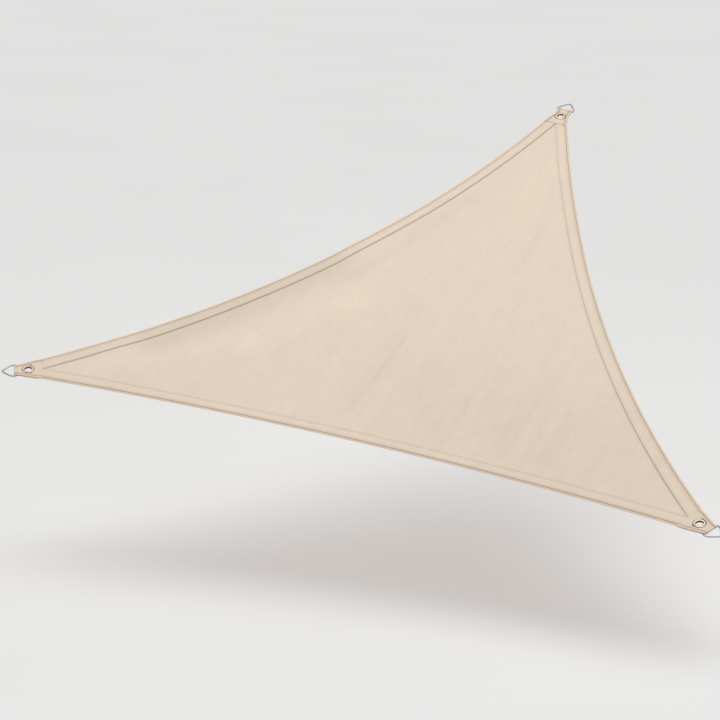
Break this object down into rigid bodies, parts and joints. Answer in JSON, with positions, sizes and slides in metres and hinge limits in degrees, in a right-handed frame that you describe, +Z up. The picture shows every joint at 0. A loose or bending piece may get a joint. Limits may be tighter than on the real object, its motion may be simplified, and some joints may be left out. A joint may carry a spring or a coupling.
{
  "type": "triangular shade sail",
  "caption": "Triangular shade sail of knitted cloth with hollow hemmed edges and, at each corner, a folded strip, an eyelet and a delta ring.",
  "frame": {"origin": "inside the tip of the ring at the far corner, where a hook pulls it", "axes": "+Z up as the sail hangs, +Y level toward the far corner's side, +X level to the right along the front edge"},
  "size_m": [2.7655, 2.7676, 1.1895],
  "materials": {
    "sail_knit": "matt sand-coloured knitted shade cloth with fine slanting grain",
    "corner_strip": "matt sand-coloured woven strip",
    "eyelet_metal": "satin metal that reflects the cloth",
    "ring_steel": "polished round wire"
  },
  "bodies": {
    "root": {"sail_cloth": "sail_knit", "corner_patch_left": "corner_strip", "corner_patch_right": "corner_strip", "corner_patch_far": "corner_strip", "eyelet_left": "eyelet_metal", "eyelet_right": "eyelet_metal", "eyelet_far": "eyelet_metal", "ring_left": "ring_steel", "ring_right": "ring_steel", "ring_far": "ring_steel"}
  },
  "joints": []
}
